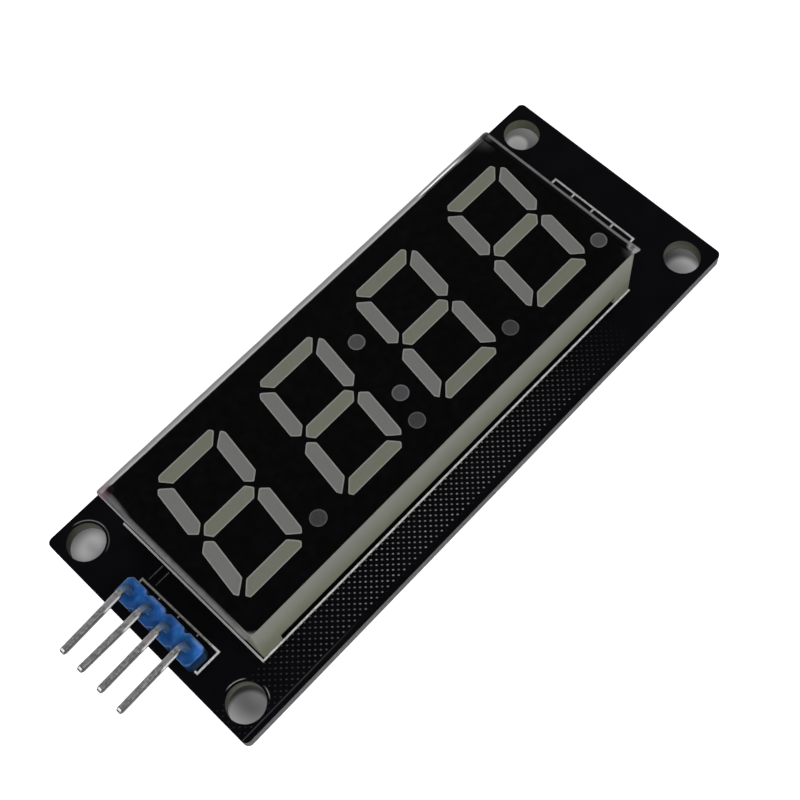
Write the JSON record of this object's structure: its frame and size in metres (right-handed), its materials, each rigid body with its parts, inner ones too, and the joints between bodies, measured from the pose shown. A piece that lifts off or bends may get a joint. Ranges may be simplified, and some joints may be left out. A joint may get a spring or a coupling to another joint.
{
  "type": "seven segment display module",
  "caption": "Numeric LED clock display with slanted seven segment digits and a colon, on a black driver board with a bent pin header and corner mounting holes.",
  "frame": {"origin": "centre of the four mounting holes, on the back face of the circuit board", "axes": "+X along the board in the reading direction, +Y towards the top of the digits, +Z out of the display face"},
  "size_m": [0.0725, 0.0274, 0.0121],
  "materials": {
    "solder_mask": "black solder mask on glass laminate, glossy",
    "housing_plastic": "grey moulded plastic, satin, with black ink on the front face",
    "window_resin": "cloudy cast resin, unlit grey",
    "die": "semiconductor die",
    "laminate": "green laminate",
    "potting": "cast resin, level surface",
    "film": "thin clear film",
    "strip_plastic": "blue moulded plastic",
    "tinned_metal": "bright tin plating",
    "solder": "solder, smooth fillets",
    "chip_epoxy": "moulded epoxy, fine matt",
    "capacitor_ceramic": "brown ceramic",
    "white_print": "white screen print, slightly raised",
    "resistor_glaze": "black glaze on ceramic"
  },
  "bodies": {
    "root": {"circuit_board": "solder_mask", "display_housing": "housing_plastic", "digit_windows_1": "window_resin", "digit_windows_2": "window_resin", "digit_windows_3": "window_resin", "digit_windows_4": "window_resin", "colon_windows": "window_resin", "led_dice": "die", "display_substrate": "laminate", "potting_resin": "potting", "display_pins": "tinned_metal", "protective_film": "film", "header_strip": "strip_plastic", "header_pin_1": "tinned_metal", "header_pin_2": "tinned_metal", "header_pin_3": "tinned_metal", "header_pin_4": "tinned_metal", "header_solder": "solder", "display_solder": "solder", "reflow_solder": "solder", "driver_body": "chip_epoxy", "driver_leads": "tinned_metal", "capacitor_1": "capacitor_ceramic", "capacitor_1_terminals": "tinned_metal", "capacitor_2": "capacitor_ceramic", "capacitor_2_terminals": "tinned_metal", "resistor_1": "resistor_glaze", "resistor_1_terminals": "tinned_metal", "resistor_2": "resistor_glaze", "resistor_2_terminals": "tinned_metal"}
  },
  "joints": []
}
